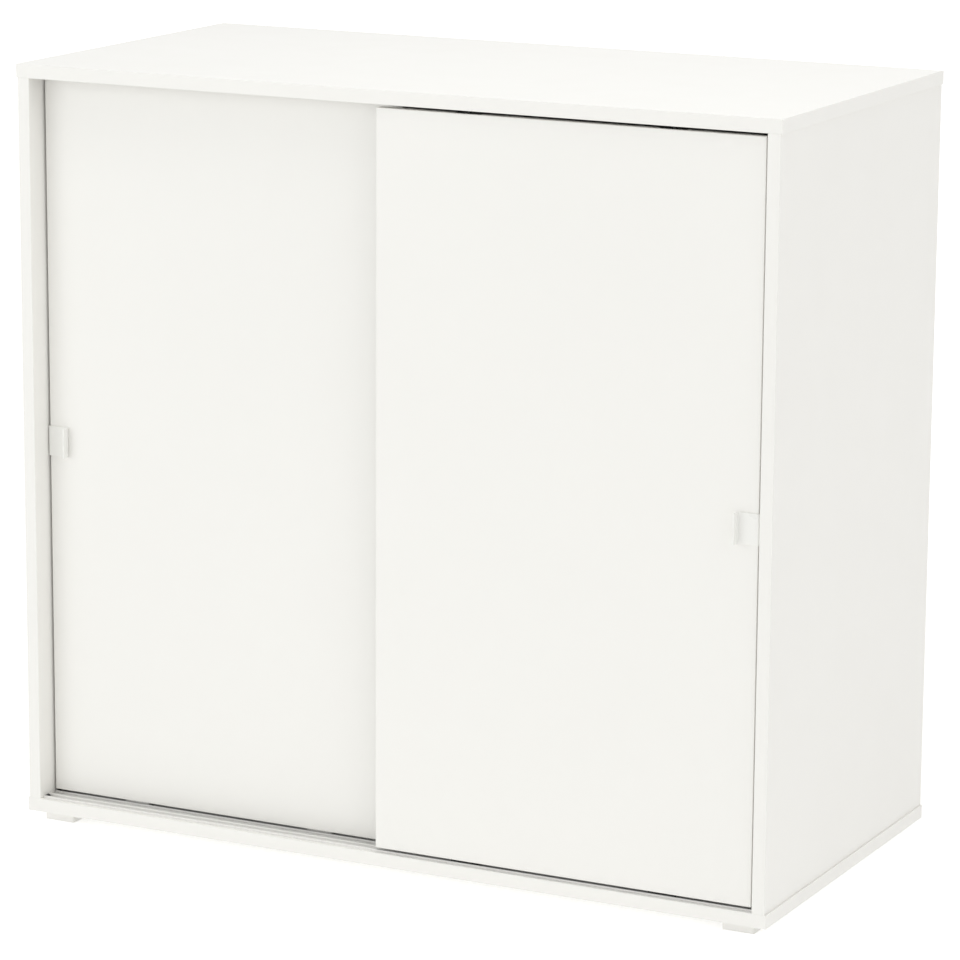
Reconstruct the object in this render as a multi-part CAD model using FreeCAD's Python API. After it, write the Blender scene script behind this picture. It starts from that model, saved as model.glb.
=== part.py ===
import FreeCAD, Part
import math
import os

# A sliding door cabinet. Millimetres, +X to the right, -Y to the front, +Z up.
# The origin is on the floor, under the middle of the carcase.

# ------------------------------------------------------------------ driving sizes
cabinet_width = 950.0
cabinet_depth = 470.0
cabinet_height = 900.0

panel_thickness = 16.0          # top and bottom panels
side_thickness = 15.0           # side panels and centre partition
shelf_thickness = 15.0
side_inset = 2.0                # how far the sides stand in from the ends of top and bottom
board_rounding = 0.4            # rounded arris of the boards that show

door_thickness = 12.0
door_overlap = 19.6             # how far the closed doors overlap in the middle
door_side_gap = 2.8             # between a closed door and the side panel
door_top_gap = 4.0
door_bottom_gap = 5.2
door_rounding = 0.8
front_door_setback = 4.0        # face of the front door behind the edges of the carcase
door_air_gap = 14.0             # free space between the two door planes

foot_height = 11.0
foot_width = 38.0
foot_length = 50.0
foot_inset_side = 18.0          # foot behind the end of the bottom panel
foot_inset_front = 10.0
foot_rounding = 1.5

back_thickness = 3.0
back_inset = 10.0               # rear face of the back in from the rear edges
back_groove_depth = 6.0
back_groove_play = 0.2          # on each face of the back
back_end_play = 1.0             # at the floor of the groove
strip_width = 18.0              # H-strip that joins the two halves of the back
strip_wall = 1.0
strip_web = 1.2

clearance_behind_doors = 8.0    # from the fittings of the rear door to the partition
shelf_setback = 3.0             # front edge of a shelf behind that of the partition
shelf_end_play = 0.75
shelf_rear_play = 2.0
shelves_per_side = 2

pin_radius = 2.5                # shelf pins and their holes
pin_depth = 7.0
pin_hole_depth = 8.0
pin_block_length = 8.0
pin_block_height = 5.0
pin_block_width = 7.0
pin_hole_pitch = 32.0
pin_holes_each_way = 2          # spare holes above and below each pin in use
pin_inset = 37.0                # pin line in from the front and rear edges of a shelf

rail_edge = 7.0                 # from the middle of a channel to the edge of its rail
rail_play = 0.2                 # between a rail and its rebate, on each side
rail_end_gap = 0.5              # a rail stops short of the side panels
rail_screw_count = 5
rail_screw_inset = 45.0

bottom_rail_sunk = 2.0          # depth of the rebate in the bottom panel
bottom_rail_proud = 2.2         # ribs above the bottom panel; the web between is flush with it
bottom_rail_floor = 1.0
bottom_channel_width = 8.0
bottom_rib_width = 3.0          # beside the web; the outer ribs end with the rail
rail_plug_length = 3.0          # plugs in the ends of the bottom channels
rail_plug_height = 3.0
rail_plug_play = 0.3            # between a plug and the ribs beside it

top_rail_height = 8.0           # all of it sits in a rebate of the top panel
top_rail_base = 1.5
top_channel_width = 6.0
top_wall_width = 4.0            # between the channels; the outer walls end with the rail

track_from_rear = 3.0           # line of guides and glides forward of the rear face of a door
fitting_inset = 110.0           # guides and glides in from the upright edges of a door
fitting_plate = 2.0             # plate of a guide or glide on the rear face of a door

guide_width = 32.0
guide_body_depth = 8.0          # in the notch, forward of the rear face of the door
guide_body_height = 24.0
guide_plate_height = 44.0
guide_cap = 4.0                 # plastic above the collar of the guide pin
guide_screw_spacing = 18.0
guide_screw_drop = 34.0         # screws below the upper edge of the door
notch_play = 0.1                # between a fitting and its notch in the door

guide_pin_radius = 2.5
guide_pin_play = 0.08
guide_pin_nose = 1.5            # rounding of the tip
guide_pin_reach = 4.0           # into the channel of the top rail
guide_collar_radius = 3.3
guide_collar_height = 2.0
guide_collar_play = 0.4
guide_spigot_radius = 1.3
guide_spigot_length = 3.0

spring_wire_radius = 0.25
spring_wire_sides = 8           # the wire is a many-sided bar
spring_radius = 2.0             # middle of the wire
spring_turns = 7
spring_end_play = 0.05

glide_width = 32.0
glide_notch_play = 2.0          # free room at each end of a glide in the edge of the door
glide_notch_height = 6.0
glide_side_play = 0.3           # between a glide and the ribs of its channel
glide_plate_height = 29.0
glide_screw_spacing = 18.0
glide_screw_rise = 20.0
glide_lead_in = 2.0

handle_height = 35.0
handle_plate_length = 25.5      # on the face of the door, in from its edge
handle_lip = 11.5               # lip outwards from the face of the door
handle_return = 22.0            # on the rear face of the door
handle_sheet = 1.8
handle_outer_bend = 1.2
handle_inner_bend = 1.0
handle_tip_rounding = 0.5
handle_screw_spacing = 18.0
handle_screw_inset = 12.0
handle_pocket_play = 0.2

cam_radius = 7.5
cam_play = 0.15
cam_slot_length = 9.0            # cross recess in the face of a cam
cam_slot_width = 1.6
cam_skin = 2.5                  # board left behind the bore of a cam
cam_distance = 34.0             # middle of a cam from the end of its upright board
cam_bolt_thread_radius = 2.5
cam_bolt_thread_length = 11.0
cam_bolt_shank_radius = 3.0
cam_bolt_neck_radius = 1.8
cam_bolt_neck_length = 7.0
cam_bolt_head_radius = 3.0
cam_bolt_head_length = 3.0
cam_bolt_bore_radius = 4.1
cam_from_front = 100.0
cam_from_rear = 70.0
dowel_radius = 4.0
dowel_length = 30.0
dowel_in_panel = 10.0
dowel_chamfer = 0.8
dowel_from_cam = 40.0
fit_play = 0.05                 # pins, dowels, bolts and screws in their holes
hole_end_play = 0.5
overcut = 1.0                   # a cut runs this far past an open face
same_place = 0.01               # points nearer than this are taken for one
same_way = 0.999                # cosine above which an edge is taken to run along an axis

bracket_width = 25.0
bracket_leg_down = 35.0
bracket_leg_back = 30.0
bracket_sheet = 2.0
bracket_bend = 2.5
bracket_hole_radius = 3.0
bracket_hole_drop = 22.0        # wall hole below the top panel
bracket_back_hole_radius = 6.0  # clearance hole in the back
bracket_screw_inset = 8.0
bracket_screw_spacing = 13.0
bracket_from_side = 60.0        # middle of a bracket from the side panel

foot_counterbore_radius = 4.4
foot_counterbore_depth = 4.0
foot_screw_spacing = 30.0

# radius of shank and head, height of head, length under the face of the head
small_countersunk = dict(shank=1.5, head=2.8, head_height=1.3, length=9.0, flush=True)
handle_countersunk = dict(shank=1.5, head=2.8, head_height=1.3, length=8.0, flush=True)
rail_countersunk = dict(shank=1.5, head=3.0, head_height=1.6, length=11.0, flush=True)
rail_pan_head = dict(shank=1.5, head=3.0, head_height=1.8, length=7.5, flush=False)
bracket_pan_head = dict(shank=1.75, head=3.4, head_height=2.0, length=14.0, flush=False)
foot_pan_head = dict(shank=1.75, head=3.4, head_height=2.4, length=19.0, flush=False)
recess_width = 0.8
recess_depth = 1.0
recess_share = 1.4              # length of the cross recess, in radii of the head

# ------------------------------------------------------------------ places that follow
half_width = cabinet_width / 2
front_y = -cabinet_depth / 2
rear_y = cabinet_depth / 2
panel_low = foot_height
floor_z = foot_height + panel_thickness             # upper face of the bottom panel
ceiling_z = cabinet_height - panel_thickness        # lower face of the top panel
clear_height = ceiling_z - floor_z
side_outer = half_width - side_inset
side_inner = side_outer - side_thickness
half_partition = side_thickness / 2

back_rear_y = rear_y - back_inset
back_front_y = back_rear_y - back_thickness
partition_rear = back_front_y - strip_wall

door_width = side_inner - door_side_gap + door_overlap / 2
door_low = floor_z + door_bottom_gap
door_high = ceiling_z - door_top_gap
door_middle_z = (door_low + door_high) / 2
door_inner_x = -door_overlap / 2
door_outer_x = side_inner - door_side_gap
front_door_face = front_y + front_door_setback
rear_door_face = front_door_face + door_thickness + door_air_gap
door_travel = 2 * side_inner - 2 * door_side_gap - door_width

partition_front = rear_door_face + door_thickness + fitting_plate + clearance_behind_doors
shelf_front = partition_front + shelf_setback
shelf_rear = back_front_y - shelf_rear_play

track_offset = door_thickness - track_from_rear     # the same line, behind the face of a door
channel_lines = (front_door_face + track_offset, rear_door_face + track_offset)
rail_front = channel_lines[0] - rail_edge
rail_rear = channel_lines[1] + rail_edge
rail_middle_y = (rail_front + rail_rear) / 2
channel_floor_z = floor_z - bottom_rail_sunk + bottom_rail_floor
rail_half_length = side_inner - rail_end_gap
rail_screw_x = [
    (2 * i / (rail_screw_count - 1) - 1) * (side_inner - rail_screw_inset)
    for i in range(rail_screw_count)
]

bracket_middle = side_inner - bracket_from_side

pin_front_y = shelf_front + pin_inset
pin_rear_y = shelf_rear - pin_inset
shelf_opening = (clear_height - shelves_per_side * shelf_thickness) / (shelves_per_side + 1)
shelf_heights = [
    floor_z + (i + 1) * shelf_opening + i * shelf_thickness for i in range(shelves_per_side)
]

parts = {}


# ------------------------------------------------------------------ plain shapes
def vector(x, y, z):
    return FreeCAD.Vector(x, y, z)


def box(x0, x1, y0, y1, z0, z1):
    return Part.makeBox(x1 - x0, y1 - y0, z1 - z0, vector(x0, y0, z0))


def mirrored(shape):
    """The same shape on the other side of the cabinet."""
    return shape.mirror(vector(0, 0, 0), vector(1, 0, 0))


def to_rear(shape):
    """The same shape at the rear of the cabinet."""
    return shape.mirror(vector(0, 0, 0), vector(0, 1, 0))


def edges_along(shape, axis):
    """The straight edges that run along an axis."""
    found = []
    for edge in shape.Edges:
        ends = [vertex.Point for vertex in edge.Vertexes]
        if len(ends) == 2 and abs((ends[1] - ends[0]).normalize().dot(axis)) > same_way:
            found.append(edge)
    return found


def board(x0, x1, y0, y1, z0, z1, radius, axes="xyz"):
    """A board whose edges along the named axes are rounded."""
    plain = box(x0, x1, y0, y1, z0, z1)
    directions = dict(x=vector(1, 0, 0), y=vector(0, 1, 0), z=vector(0, 0, 1))
    edges = []
    for axis in axes:
        edges += edges_along(plain, directions[axis])
    return plain.makeFillet(radius, edges)


def turned_to(shape, start, direction):
    """A shape made along +Z from the origin, laid along a direction from a start point."""
    placed = shape.copy()
    turn = FreeCAD.Rotation(vector(0, 0, 1), direction)
    placed.Placement = FreeCAD.Placement(start, turn).multiply(placed.Placement)
    return placed


def rod(radius, length, start, direction):
    return Part.makeCylinder(radius, length, start, direction)


def save(name, *solids):
    parts[name] = solids[0] if len(solids) == 1 else Part.makeCompound(list(solids))


# ------------------------------------------------------------------ screws
def screw_profile(kind, play):
    """Half section of a screw, from the face of its head down; play makes its hole."""
    shank = kind["shank"] + play
    head = kind["head"] + play
    height = kind["head_height"]
    length = kind["length"] + play
    tip = kind["shank"]
    if kind["flush"]:
        outline = [(0, 0), (head, 0), (shank, height)]
    else:
        outline = [(0, -height - play), (head, -height - play), (head, play), (shank, play)]
    outline += [(shank, length - tip), (0, length)]
    points = [vector(r, 0, z) for r, z in outline + outline[:1]]
    return Part.Face(Part.makePolygon(points)).revolve(vector(0, 0, 0), vector(0, 0, 1), 360)


def screw(kind, point, direction):
    """A screw driven in along a direction; the point is on the surface it holds."""
    face = 0 if kind["flush"] else -kind["head_height"]
    reach = kind["head"] * recess_share / 2
    half = recess_width / 2
    z0, z1 = face - recess_depth, face + recess_depth
    cross = [box(-reach, reach, -half, half, z0, z1), box(-half, half, -reach, reach, z0, z1)]
    return turned_to(screw_profile(kind, 0).cut(cross), point, direction)


def screw_hole(kind, point, direction):
    return turned_to(screw_profile(kind, fit_play), point, direction)


# ------------------------------------------------------------------ board joints
def joint_places():
    """Every corner joint: middle of the upright, side its cams open to, end and depth."""
    uprights = (
        ("left_side_panel", -(side_outer + side_inner) / 2, 1),
        ("right_side_panel", (side_outer + side_inner) / 2, -1),
        ("centre_partition", 0.0, 1),
    )
    front = (front_y + cam_from_front, 1)
    rear = (rear_y - cam_from_rear, -1)
    for upright, x, opens in uprights:
        for panel, z, up in (("top_panel", ceiling_z, 1), ("bottom_panel", floor_z, -1)):
            for y, inwards in (front, rear):
                yield upright, panel, x, opens, z, up, y, inwards


def cam_joint(x, opens, z, up, y, cuts_upright, cuts_panel):
    """A cam lock and its bolt, and the bores they need."""
    along = vector(0, 0, up)
    middle = z - up * cam_distance
    face_x = x + opens * side_thickness / 2
    depth = side_thickness - cam_skin
    inwards = vector(-opens, 0, 0)
    mouth = vector(face_x, y, middle)

    cuts_upright.append(rod(cam_radius, depth, mouth, inwards))
    cuts_upright.append(rod(cam_bolt_bore_radius, cam_distance, vector(x, y, middle), along))
    thread_hole = cam_bolt_thread_length + hole_end_play
    cuts_panel.append(rod(cam_bolt_thread_radius + fit_play, thread_hole, vector(x, y, z), along))

    cam = rod(cam_radius - cam_play, depth, mouth, inwards)
    socket_start = vector(x, y, middle - up * cam_radius / 2)
    socket = rod(cam_bolt_bore_radius, 3 * cam_radius, socket_start, along)
    x0, x1 = face_x - recess_depth, face_x + recess_depth
    reach, half = cam_slot_length / 2, cam_slot_width / 2
    slot = box(x0, x1, y - reach, y + reach, middle - half, middle + half)
    cross = box(x0, x1, y - half, y + half, middle - reach, middle + reach)
    cam = cam.cut([socket, slot, cross])

    neck = z - up * (cam_distance - cam_bolt_head_length / 2)
    head_start = vector(x, y, neck - up * cam_bolt_head_length)
    head = rod(cam_bolt_head_radius, cam_bolt_head_length, head_start, along)
    waist = rod(cam_bolt_neck_radius, cam_bolt_neck_length, vector(x, y, neck), along)
    shank_start = neck + up * cam_bolt_neck_length
    shank = rod(cam_bolt_shank_radius, abs(z - shank_start), vector(x, y, shank_start), along)
    thread = rod(cam_bolt_thread_radius, cam_bolt_thread_length, vector(x, y, z), along)
    bolt = head.fuse([waist, shank, thread]).removeSplitter()
    return cam, bolt


def dowel_joint(x, z, up, y, cuts_upright, cuts_panel):
    """A dowel across a joint, with its two holes."""
    along = vector(0, 0, up)
    in_upright = dowel_length - dowel_in_panel
    start = vector(x, y, z - up * in_upright)
    hole = dowel_radius + fit_play
    cuts_panel.append(rod(hole, dowel_in_panel + hole_end_play, vector(x, y, z), along))
    low = vector(x, y, z - up * (in_upright + hole_end_play))
    cuts_upright.append(rod(hole, in_upright + hole_end_play, low, along))
    plain = rod(dowel_radius, dowel_length, start, along)
    rims = [edge for edge in plain.Edges if isinstance(edge.Curve, Part.Circle)]
    return plain.makeChamfer(dowel_chamfer, rims)


# ------------------------------------------------------------------ shelf pins
def pin_rows():
    """Heights of the pins in use, one for each shelf."""
    return [z - pin_block_height / 2 for z in shelf_heights]


def pin_holes(face_x, into):
    """Two upright rows of holes at each shelf height; into is the way they are drilled."""
    depth = pin_hole_depth
    cuts = []
    for middle in pin_rows():
        for step in range(-pin_holes_each_way, pin_holes_each_way + 1):
            for y in (pin_front_y, pin_rear_y):
                at = vector(face_x, y, middle + step * pin_hole_pitch)
                cuts.append(rod(pin_radius + fit_play, depth, at, vector(into, 0, 0)))
    return cuts


def shelf_pin(face_x, into, y, z):
    """A round peg in the upright, and a block with a flat top that carries the shelf."""
    peg = rod(pin_radius, pin_depth, vector(face_x, y, z), vector(into, 0, 0))
    out = face_x - into * pin_block_length
    low, high = min(face_x, out), max(face_x, out)
    half = pin_block_height / 2
    side = pin_block_width / 2
    block = box(low, high, y - side, y + side, z - half, z + half)
    return peg.fuse(block)


# ------------------------------------------------------------------ carcase
def wall_spans(channel_width, inner_wall):
    """Front and rear faces of the four walls beside the channels, front to rear."""
    half = channel_width / 2
    front, rear = channel_lines
    return [
        (rail_front, front - half), (front + half, front + half + inner_wall),
        (rear - half - inner_wall, rear - half), (rear + half, rail_rear),
    ]


def rail(spans):
    """A rail of one section along the whole opening; each span is two Y and two Z values."""
    solids = [box(-rail_half_length, rail_half_length, *span) for span in spans]
    return solids[0].fuse(solids[1:]).removeSplitter()


def rail_rebate(z0, z1):
    return box(-side_inner, side_inner, rail_front - rail_play, rail_rear + rail_play, z0, z1)


def bottom_rail():
    """Four ribs on a thin floor, with a thicker web between the channels."""
    ribs = wall_spans(bottom_channel_width, bottom_rib_width)
    low = floor_z - bottom_rail_sunk
    spans = [(rail_front, rail_rear, low, channel_floor_z)]
    spans.append((ribs[1][1], ribs[2][0], low, floor_z))
    spans += [(*rib, low, floor_z + bottom_rail_proud) for rib in ribs]
    return rail(spans)


def top_rail():
    """Four walls that hang from a base, flush with the top panel."""
    high = ceiling_z + top_rail_height
    spans = [(rail_front, rail_rear, high - top_rail_base, high)]
    spans += [(*wall, ceiling_z, high) for wall in wall_spans(top_channel_width, top_wall_width)]
    return rail(spans)


def make_rails():
    """Both rails and their screws; returns the cuts for the bottom and the top panel.

    The bottom rail is screwed down in its rear channel, the top rail between its channels.
    """
    down, up = vector(0, 0, -1), vector(0, 0, 1)
    top_rail_z = ceiling_z + top_rail_height
    under = [vector(x, channel_lines[1], channel_floor_z) for x in rail_screw_x]
    over = [vector(x, rail_middle_y, top_rail_z - top_rail_base) for x in rail_screw_x]
    bottom_holes = [screw_hole(rail_countersunk, at, down) for at in under]
    top_holes = [screw_hole(rail_pan_head, at, up) for at in over]
    save("bottom_rail", bottom_rail().cut(bottom_holes))
    save("top_rail", top_rail().cut(top_holes))
    save("bottom_rail_screws", *[screw(rail_countersunk, at, down) for at in under])
    save("top_rail_screws", *[screw(rail_pan_head, at, up) for at in over])
    bottom_rebate = rail_rebate(floor_z - bottom_rail_sunk, floor_z + overcut)
    top_rebate = rail_rebate(ceiling_z - overcut, top_rail_z)
    return [bottom_rebate] + bottom_holes, [top_rebate] + top_holes


def make_rail_plugs():
    """Small plugs that close the ends of both channels of the bottom rail."""
    half = bottom_channel_width / 2 - rail_plug_play
    low, high = channel_floor_z, channel_floor_z + rail_plug_height
    plugs = [box(side_inner - rail_plug_length, side_inner, line - half, line + half, low, high)
             for line in channel_lines]
    save("rail_end_plugs", *plugs, *[mirrored(plug) for plug in plugs])


def make_back():
    """Two hardboard halves in grooves, and the H-strip between them."""
    x1 = side_inner + back_groove_depth - back_end_play
    z0 = floor_z - back_groove_depth + back_end_play
    z1 = ceiling_z + back_groove_depth - back_end_play
    half = box(strip_web / 2, x1, back_front_y, back_rear_y, z0, z1)
    hole_start = vector(bracket_middle, back_front_y - back_thickness, ceiling_z - bracket_hole_drop)
    hole = rod(bracket_back_hole_radius, 3 * back_thickness, hole_start, vector(0, 1, 0))
    right = half.cut(hole)
    save("back_panel_right", right)
    save("back_panel_left", mirrored(right))

    web = box(-strip_web / 2, strip_web / 2, back_front_y, back_rear_y, floor_z, ceiling_z)
    half_strip = strip_width / 2
    flanges = [
        box(-half_strip, half_strip, back_front_y - strip_wall, back_front_y, floor_z, ceiling_z),
        box(-half_strip, half_strip, back_rear_y, back_rear_y + strip_wall, floor_z, ceiling_z),
    ]
    save("back_joint_strip", web.fuse(flanges).removeSplitter())


def back_groove(x0, x1, z0, z1):
    return box(x0, x1, back_front_y - back_groove_play, back_rear_y + back_groove_play, z0, z1)


def make_brackets(cuts_top):
    """Angle brackets under the top panel, for the screws that hold the cabinet to a wall."""
    x = bracket_middle
    half = bracket_width / 2
    y0, z0 = back_front_y - bracket_sheet, ceiling_z - bracket_sheet
    back = box(x - half, x + half, y0, back_front_y, ceiling_z - bracket_leg_down, ceiling_z)
    under = box(x - half, x + half, back_front_y - bracket_leg_back, back_front_y, z0, ceiling_z)
    angle = back.fuse(under).removeSplitter()
    bend = [edge for edge in edges_along(angle, vector(1, 0, 0))
            if edge.Vertexes[0].Point.isEqual(vector(edge.Vertexes[0].X, y0, z0), same_place)]
    angle = angle.makeFillet(bracket_bend, bend)
    hole_start = vector(x, back_front_y - 2 * bracket_sheet, ceiling_z - bracket_hole_drop)
    wall_hole = rod(bracket_hole_radius, 3 * bracket_sheet, hole_start, vector(0, 1, 0))
    screw_y = back_front_y - bracket_leg_back + bracket_screw_inset
    places = [vector(x + side * bracket_screw_spacing / 2, screw_y, ceiling_z - bracket_sheet)
              for side in (-1, 1)]
    up = vector(0, 0, 1)
    holes = [screw_hole(bracket_pan_head, at, up) for at in places]
    bracket = angle.cut([wall_hole] + holes)
    screws = [screw(bracket_pan_head, at, up) for at in places]
    save("wall_bracket_right", bracket)
    save("wall_bracket_left", mirrored(bracket))
    save("wall_bracket_screws", *screws, *[mirrored(one) for one in screws])
    cuts_top += holes + [mirrored(hole) for hole in holes]


def make_feet(cuts_bottom):
    """Four low blocks, each held by two screws from below."""
    outer = half_width - foot_inset_side
    front = front_y + foot_inset_front
    rear = front + foot_length
    block = board(outer - foot_width, outer, front, rear, 0, foot_height, foot_rounding, "z")
    x, middle = outer - foot_width / 2, (front + rear) / 2
    up = vector(0, 0, 1)
    places = [vector(x, middle + side * foot_screw_spacing / 2, foot_counterbore_depth)
              for side in (-1, 1)]
    holes = [screw_hole(foot_pan_head, at, up) for at in places]
    wells = [rod(foot_counterbore_radius, at.z, vector(at.x, at.y, 0), up) for at in places]
    foot = block.cut(holes + wells)
    screws = [screw(foot_pan_head, at, up) for at in places]
    save("foot_front_right", foot)
    save("foot_front_left", mirrored(foot))
    save("foot_rear_right", to_rear(foot))
    save("foot_rear_left", to_rear(mirrored(foot)))
    every = screws + [mirrored(one) for one in screws]
    save("foot_screws", *every, *[to_rear(one) for one in every])
    cuts = holes + [mirrored(hole) for hole in holes]
    cuts_bottom += cuts + [to_rear(hole) for hole in cuts]


def plain_boards():
    """The five boards of the carcase before any hole or groove is cut."""
    r = board_rounding
    wide = (-half_width, half_width, front_y, rear_y)
    deep = (front_y, rear_y, floor_z, ceiling_z)
    inner = (partition_front, partition_rear, floor_z, ceiling_z)
    return {
        "top_panel": board(*wide, ceiling_z, cabinet_height, r),
        "bottom_panel": board(*wide, panel_low, floor_z, r),
        "right_side_panel": board(side_inner, side_outer, *deep, r, "z"),
        "left_side_panel": board(-side_outer, -side_inner, *deep, r, "z"),
        "centre_partition": board(-half_partition, half_partition, *inner, r, "z"),
    }


def make_carcase():
    plain = plain_boards()
    cuts = {name: [] for name in plain}
    cams, bolts, dowels = [], [], []
    for upright, panel, x, opens, z, up, y, inwards in joint_places():
        cam, bolt = cam_joint(x, opens, z, up, y, cuts[upright], cuts[panel])
        cams.append(cam)
        bolts.append(bolt)
        dowel_y = y + inwards * dowel_from_cam
        dowels.append(dowel_joint(x, z, up, dowel_y, cuts[upright], cuts[panel]))
    save("cam_locks", *cams)
    save("cam_bolts", *bolts)
    save("wooden_dowels", *dowels)

    bottom_cuts, top_cuts = make_rails()
    make_rail_plugs()
    cuts["bottom_panel"] += bottom_cuts
    cuts["top_panel"] += top_cuts
    make_brackets(cuts["top_panel"])
    make_feet(cuts["bottom_panel"])
    make_back()

    x = side_inner + back_groove_depth
    low, high = floor_z - back_groove_depth, ceiling_z + back_groove_depth
    cuts["top_panel"].append(back_groove(-x, x, ceiling_z - overcut, high))
    cuts["bottom_panel"].append(back_groove(-x, x, low, floor_z + overcut))
    cuts["right_side_panel"].append(back_groove(side_inner - overcut, x, low, high))
    cuts["left_side_panel"].append(back_groove(-x, overcut - side_inner, low, high))
    cuts["right_side_panel"] += pin_holes(side_inner, 1)
    cuts["left_side_panel"] += pin_holes(-side_inner, -1)
    cuts["centre_partition"] += pin_holes(half_partition, -1)
    cuts["centre_partition"] += pin_holes(-half_partition, 1)

    for name, shape in plain.items():
        save(name, shape.cut(cuts[name]))


def make_shelves():
    """Two shelves on each side of the partition, each on four pins."""
    x0, x1 = half_partition + shelf_end_play, side_inner - shelf_end_play
    pins = []
    for name, z in zip(("lower", "upper"), shelf_heights):
        shelf = board(x0, x1, shelf_front, shelf_rear, z, z + shelf_thickness, board_rounding, "x")
        save("shelf_right_" + name, shelf)
        save("shelf_left_" + name, mirrored(shelf))
    for z in pin_rows():
        for y in (pin_front_y, pin_rear_y):
            pair = [shelf_pin(side_inner, 1, y, z), shelf_pin(half_partition, -1, y, z)]
            pins += pair + [mirrored(pin) for pin in pair]
    save("shelf_pins", *pins)


# ------------------------------------------------------------------ doors
# Both doors are made as the right-hand one, with its face in the plane y = face.
def fitting_places():
    return (door_inner_x + fitting_inset, door_outer_x - fitting_inset)


def screw_pair(x, y, z, spacing):
    """Places of two screws side by side."""
    return [vector(x + side * spacing / 2, y, z) for side in (-1, 1)]


def guide_screws(x, face):
    rear = face + door_thickness + fitting_plate
    return screw_pair(x, rear, door_high - guide_screw_drop, guide_screw_spacing)


def glide_screws(x, face):
    rear = face + door_thickness + fitting_plate
    return screw_pair(x, rear, door_low + glide_screw_rise, glide_screw_spacing)


def top_guide(x, face):
    """Housing let into the upper edge of a door, with a plate on its rear face."""
    half = guide_width / 2
    rear = face + door_thickness
    outer = rear + fitting_plate
    low = door_high - guide_body_height
    body = box(x - half, x + half, rear - guide_body_depth, outer, low, door_high)
    plate = box(x - half, x + half, rear, outer, door_high - guide_plate_height, door_high)
    seat = vector(x, face + track_offset, low)
    up = vector(0, 0, 1)
    narrow = rod(guide_pin_radius + guide_pin_play, guide_body_height, seat, up)
    wide = rod(guide_collar_radius + guide_collar_play, guide_body_height - guide_cap, seat, up)
    holes = [screw_hole(small_countersunk, at, vector(0, -1, 0)) for at in guide_screws(x, face)]
    return body.fuse(plate).removeSplitter().cut([narrow, wide] + holes)


def guide_notch(x, face):
    half = guide_width / 2 + notch_play
    rear = face + door_thickness
    return box(x - half, x + half, rear - guide_body_depth - notch_play, rear + overcut,
               door_high - guide_body_height, door_high + overcut)


def guide_pin(x, face):
    """Round-nosed pin with a collar that stops it under the cap of its housing."""
    line = face + track_offset
    collar_top = door_high - guide_cap
    tip = ceiling_z + guide_pin_reach
    up = vector(0, 0, 1)
    shank = rod(guide_pin_radius, tip - collar_top, vector(x, line, collar_top), up)
    nose = [edge for edge in shank.Edges
            if isinstance(edge.Curve, Part.Circle) and edge.Curve.Center.z > tip - same_place]
    shank = shank.makeFillet(guide_pin_nose, nose)
    collar_low = collar_top - guide_collar_height
    collar = rod(guide_collar_radius, guide_collar_height, vector(x, line, collar_low), up)
    spigot_start = vector(x, line, collar_low - guide_spigot_length)
    spigot = rod(guide_spigot_radius, guide_spigot_length, spigot_start, up)
    return shank.fuse([collar, spigot]).removeSplitter()


def guide_spring(x, face):
    """Coil between the floor of the notch and the collar of the guide pin."""
    low = door_high - guide_body_height + spring_end_play + spring_wire_radius
    high = door_high - guide_cap - guide_collar_height - spring_end_play - spring_wire_radius
    helix = Part.makeHelix((high - low) / spring_turns, high - low, spring_radius)
    angles = [2 * math.pi * i / spring_wire_sides for i in range(spring_wire_sides + 1)]
    section = [vector(spring_radius + spring_wire_radius * math.cos(angle), 0,
                      spring_wire_radius * math.sin(angle)) for angle in angles]
    coil = Part.Wire(helix.Edges).makePipeShell([Part.makePolygon(section)], True, True)
    return turned_to(coil, vector(x, face + track_offset, low), vector(0, 0, 1))


def bottom_glide(x, face):
    """Runner in a channel of the bottom rail, with a plate on the rear face of the door."""
    half = glide_width / 2
    rear = face + door_thickness
    line = face + track_offset
    reach = bottom_channel_width / 2 - glide_side_play
    top = door_low + glide_notch_height
    runner = box(x - half, x + half, line - reach, line + reach, channel_floor_z, top)
    ends = [edge for edge in edges_along(runner, vector(0, 1, 0))
            if edge.Vertexes[0].Z < channel_floor_z + same_place]
    runner = runner.makeChamfer(glide_lead_in, ends)
    outer = rear + fitting_plate
    plate = box(x - half, x + half, rear, outer, door_low, door_low + glide_plate_height)
    holes = [screw_hole(small_countersunk, at, vector(0, -1, 0)) for at in glide_screws(x, face)]
    return runner.fuse(plate).removeSplitter().cut(holes)


def glide_notch(x, face):
    half = glide_width / 2 + glide_notch_play
    line = face + track_offset
    reach = bottom_channel_width / 2 - glide_side_play + notch_play
    return box(x - half, x + half, line - reach, face + door_thickness + overcut,
               door_low - overcut, door_low + glide_notch_height)


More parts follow.
